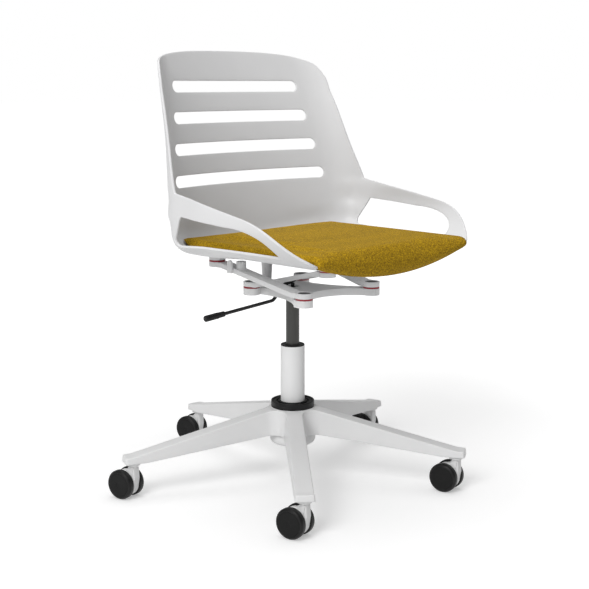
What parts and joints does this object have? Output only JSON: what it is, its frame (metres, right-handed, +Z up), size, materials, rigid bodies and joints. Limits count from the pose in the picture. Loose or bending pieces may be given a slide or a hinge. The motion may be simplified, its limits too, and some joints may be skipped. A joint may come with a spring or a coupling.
{
  "type": "task chair",
  "caption": "White swivel task chair with slotted one-piece shell, armrest loops, ochre seat cushion, link-borne seat, gas column and casters.",
  "frame": {"origin": "on the floor, on the axis of the gas column", "axes": "+Z up, -Y the way the sitter faces, +X the sitter's left"},
  "size_m": [0.7085, 0.7096, 0.8897],
  "materials": {
    "white_base": "satin white",
    "white_paint": "satin white powder coat on cast aluminium",
    "white_shell": "satin white",
    "black_plastic": "matt black",
    "black_rubber": "matt black",
    "wheel_tread": "matt black",
    "steel": "bright",
    "black_steel": "satin black",
    "red_ring": "dark red",
    "dark_cap": "dark grey",
    "board": "dark grey",
    "ochre_fabric": "woven mustard ochre"
  },
  "bodies": {
    "base": {"base_star": "white_base", "hub_cover_ring": "black_plastic", "column_tube": "white_paint", "column_guide_bush": "black_plastic", "column_top_collar": "black_plastic", "thrust_bearing": "steel", "buffer_ring": "black_rubber"},
    "spindle": {"piston_rod": "steel", "retaining_clip": "steel"},
    "column": {"inner_tube": "black_steel", "tube_gland": "steel", "bracket": "white_paint", "bracket_rings": "red_ring", "bracket_pins": "dark_cap", "lever_pin": "steel"},
    "valve": {"valve_pin": "steel"},
    "lever": {"lever_rod": "black_steel", "lever_grip": "black_plastic"},
    "seat": {"shell": "white_shell", "shell_rings": "red_ring", "shell_pins": "dark_cap", "stop_sleeve": "black_rubber", "cushion_board": "board", "board_screws": "steel", "cushion": "ochre_fabric"},
    "link_front_right": {"link_front_right": "white_paint", "bushes_front_right": "black_plastic"},
    "link_rear_right": {"link_rear_right": "white_paint", "bushes_rear_right": "black_plastic"},
    "link_front_left": {"link_front_left": "white_paint", "bushes_front_left": "black_plastic"},
    "link_rear_left": {"link_rear_left": "white_paint", "bushes_rear_left": "black_plastic"},
    "caster_1": {"caster_fork_1": "white_base", "caster_pins_1": "steel"},
    "wheel_1a": {"caster_wheel_1a": "wheel_tread"},
    "wheel_1b": {"caster_wheel_1b": "wheel_tread"},
    "caster_2": {"caster_fork_2": "white_base", "caster_pins_2": "steel"},
    "wheel_2a": {"caster_wheel_2a": "wheel_tread"},
    "wheel_2b": {"caster_wheel_2b": "wheel_tread"},
    "caster_3": {"caster_fork_3": "white_base", "caster_pins_3": "steel"},
    "wheel_3a": {"caster_wheel_3a": "wheel_tread"},
    "wheel_3b": {"caster_wheel_3b": "wheel_tread"},
    "caster_4": {"caster_fork_4": "white_base", "caster_pins_4": "steel"},
    "wheel_4a": {"caster_wheel_4a": "wheel_tread"},
    "wheel_4b": {"caster_wheel_4b": "wheel_tread"},
    "caster_5": {"caster_fork_5": "white_base", "caster_pins_5": "steel"},
    "wheel_5a": {"caster_wheel_5a": "wheel_tread"},
    "wheel_5b": {"caster_wheel_5b": "wheel_tread"}
  },
  "joints": [
    {"name": "seat_swivel", "type": "hinge", "parent": "base", "child": "spindle", "pos_m": [0, 0, 0.3], "axis": [0, 0, 1], "continuous": true},
    {"name": "height_slide", "type": "slide", "parent": "spindle", "child": "column", "axis": [0, 0, 1], "range_m": [-0.088, 0.025]},
    {"name": "lever_tilt", "type": "hinge", "parent": "column", "child": "lever", "pos_m": [-0.045, 0, 0.40575], "axis": [0, 1, 0], "range_deg": [0, 4.5], "stiffness_Nm_per_rad": 2},
    {"name": "valve_press", "type": "slide", "parent": "column", "child": "valve", "axis": [0, 0, 1], "range_m": [-0.0038, 0]},
    {"name": "front_right_link_turn", "type": "hinge", "parent": "column", "child": "link_front_right", "pos_m": [-0.0975, -0.1295, 0.4135], "axis": [0, 0, 1], "range_deg": [-4, 4]},
    {"name": "rear_right_link_turn", "type": "hinge", "parent": "column", "child": "link_rear_right", "pos_m": [-0.0725, 0.046, 0.4135], "axis": [0, 0, 1], "range_deg": [-3.6, 3.6]},
    {"name": "front_left_link_turn", "type": "hinge", "parent": "column", "child": "link_front_left", "pos_m": [0.0975, -0.1295, 0.4135], "axis": [0, 0, 1], "range_deg": [-4.05, 4.05]},
    {"name": "rear_left_link_turn", "type": "hinge", "parent": "column", "child": "link_rear_left", "pos_m": [0.0725, 0.046, 0.4135], "axis": [0, 0, 1], "range_deg": [-3.6, 3.6]},
    {"name": "seat_turn", "type": "hinge", "parent": "link_front_right", "child": "seat", "pos_m": [-0.1185, 0.0985, 0.4675], "axis": [0, 0, 1], "range_deg": [-3.35, 3.35]},
    {"name": "caster_1_swivel", "type": "hinge", "parent": "base", "child": "caster_1", "pos_m": [0.3351, 0.07552, 0.076], "axis": [0, 0, 1], "continuous": true},
    {"name": "wheel_1a_spin", "type": "hinge", "parent": "caster_1", "child": "wheel_1a", "pos_m": [0.3307, 0.09503, 0.03], "axis": [0.9755, 0.2198, 0], "continuous": true},
    {"name": "wheel_1b_spin", "type": "hinge", "parent": "caster_1", "child": "wheel_1b", "pos_m": [0.3307, 0.09503, 0.03], "axis": [0.9755, 0.2198, 0], "continuous": true},
    {"name": "caster_2_swivel", "type": "hinge", "parent": "base", "child": "caster_2", "pos_m": [0.03173, 0.34203, 0.076], "axis": [0, 0, 1], "continuous": true},
    {"name": "wheel_2a_spin", "type": "hinge", "parent": "caster_2", "child": "wheel_2a", "pos_m": [0.02733, 0.36154, 0.03], "axis": [0.9755, 0.2198, 0], "continuous": true},
    {"name": "wheel_2b_spin", "type": "hinge", "parent": "caster_2", "child": "wheel_2b", "pos_m": [0.02733, 0.36154, 0.03], "axis": [0.9755, 0.2198, 0], "continuous": true},
    {"name": "caster_3_swivel", "type": "hinge", "parent": "base", "child": "caster_3", "pos_m": [-0.31549, 0.13587, 0.076], "axis": [0, 0, 1], "continuous": true},
    {"name": "wheel_3a_spin", "type": "hinge", "parent": "caster_3", "child": "wheel_3a", "pos_m": [-0.31988, 0.15538, 0.03], "axis": [0.9755, 0.2198, 0], "continuous": true},
    {"name": "wheel_3b_spin", "type": "hinge", "parent": "caster_3", "child": "wheel_3b", "pos_m": [-0.31988, 0.15538, 0.03], "axis": [0.9755, 0.2198, 0], "continuous": true},
    {"name": "caster_4_swivel", "type": "hinge", "parent": "base", "child": "caster_4", "pos_m": [-0.22671, -0.25806, 0.076], "axis": [0, 0, 1], "continuous": true},
    {"name": "wheel_4a_spin", "type": "hinge", "parent": "caster_4", "child": "wheel_4a", "pos_m": [-0.23111, -0.23855, 0.03], "axis": [0.9755, 0.2198, 0], "continuous": true},
    {"name": "wheel_4b_spin", "type": "hinge", "parent": "caster_4", "child": "wheel_4b", "pos_m": [-0.23111, -0.23855, 0.03], "axis": [0.9755, 0.2198, 0], "continuous": true},
    {"name": "caster_5_swivel", "type": "hinge", "parent": "base", "child": "caster_5", "pos_m": [0.17537, -0.29536, 0.076], "axis": [0, 0, 1], "continuous": true},
    {"name": "wheel_5a_spin", "type": "hinge", "parent": "caster_5", "child": "wheel_5a", "pos_m": [0.17097, -0.27585, 0.03], "axis": [0.9755, 0.2198, 0], "continuous": true},
    {"name": "wheel_5b_spin", "type": "hinge", "parent": "caster_5", "child": "wheel_5b", "pos_m": [0.17097, -0.27585, 0.03], "axis": [0.9755, 0.2198, 0], "continuous": true}
  ],
  "couplings": [
    {"joint": "seat_turn", "follows": "front_right_link_turn", "ratio": -0.824},
    {"joint": "front_left_link_turn", "follows": "front_right_link_turn", "ratio": 1},
    {"joint": "rear_right_link_turn", "follows": "front_right_link_turn", "ratio": -0.896},
    {"joint": "rear_left_link_turn", "follows": "front_right_link_turn", "ratio": -0.896},
    {"joint": "valve_press", "follows": "lever_tilt", "m_per_rad": -0.047}
  ]
}
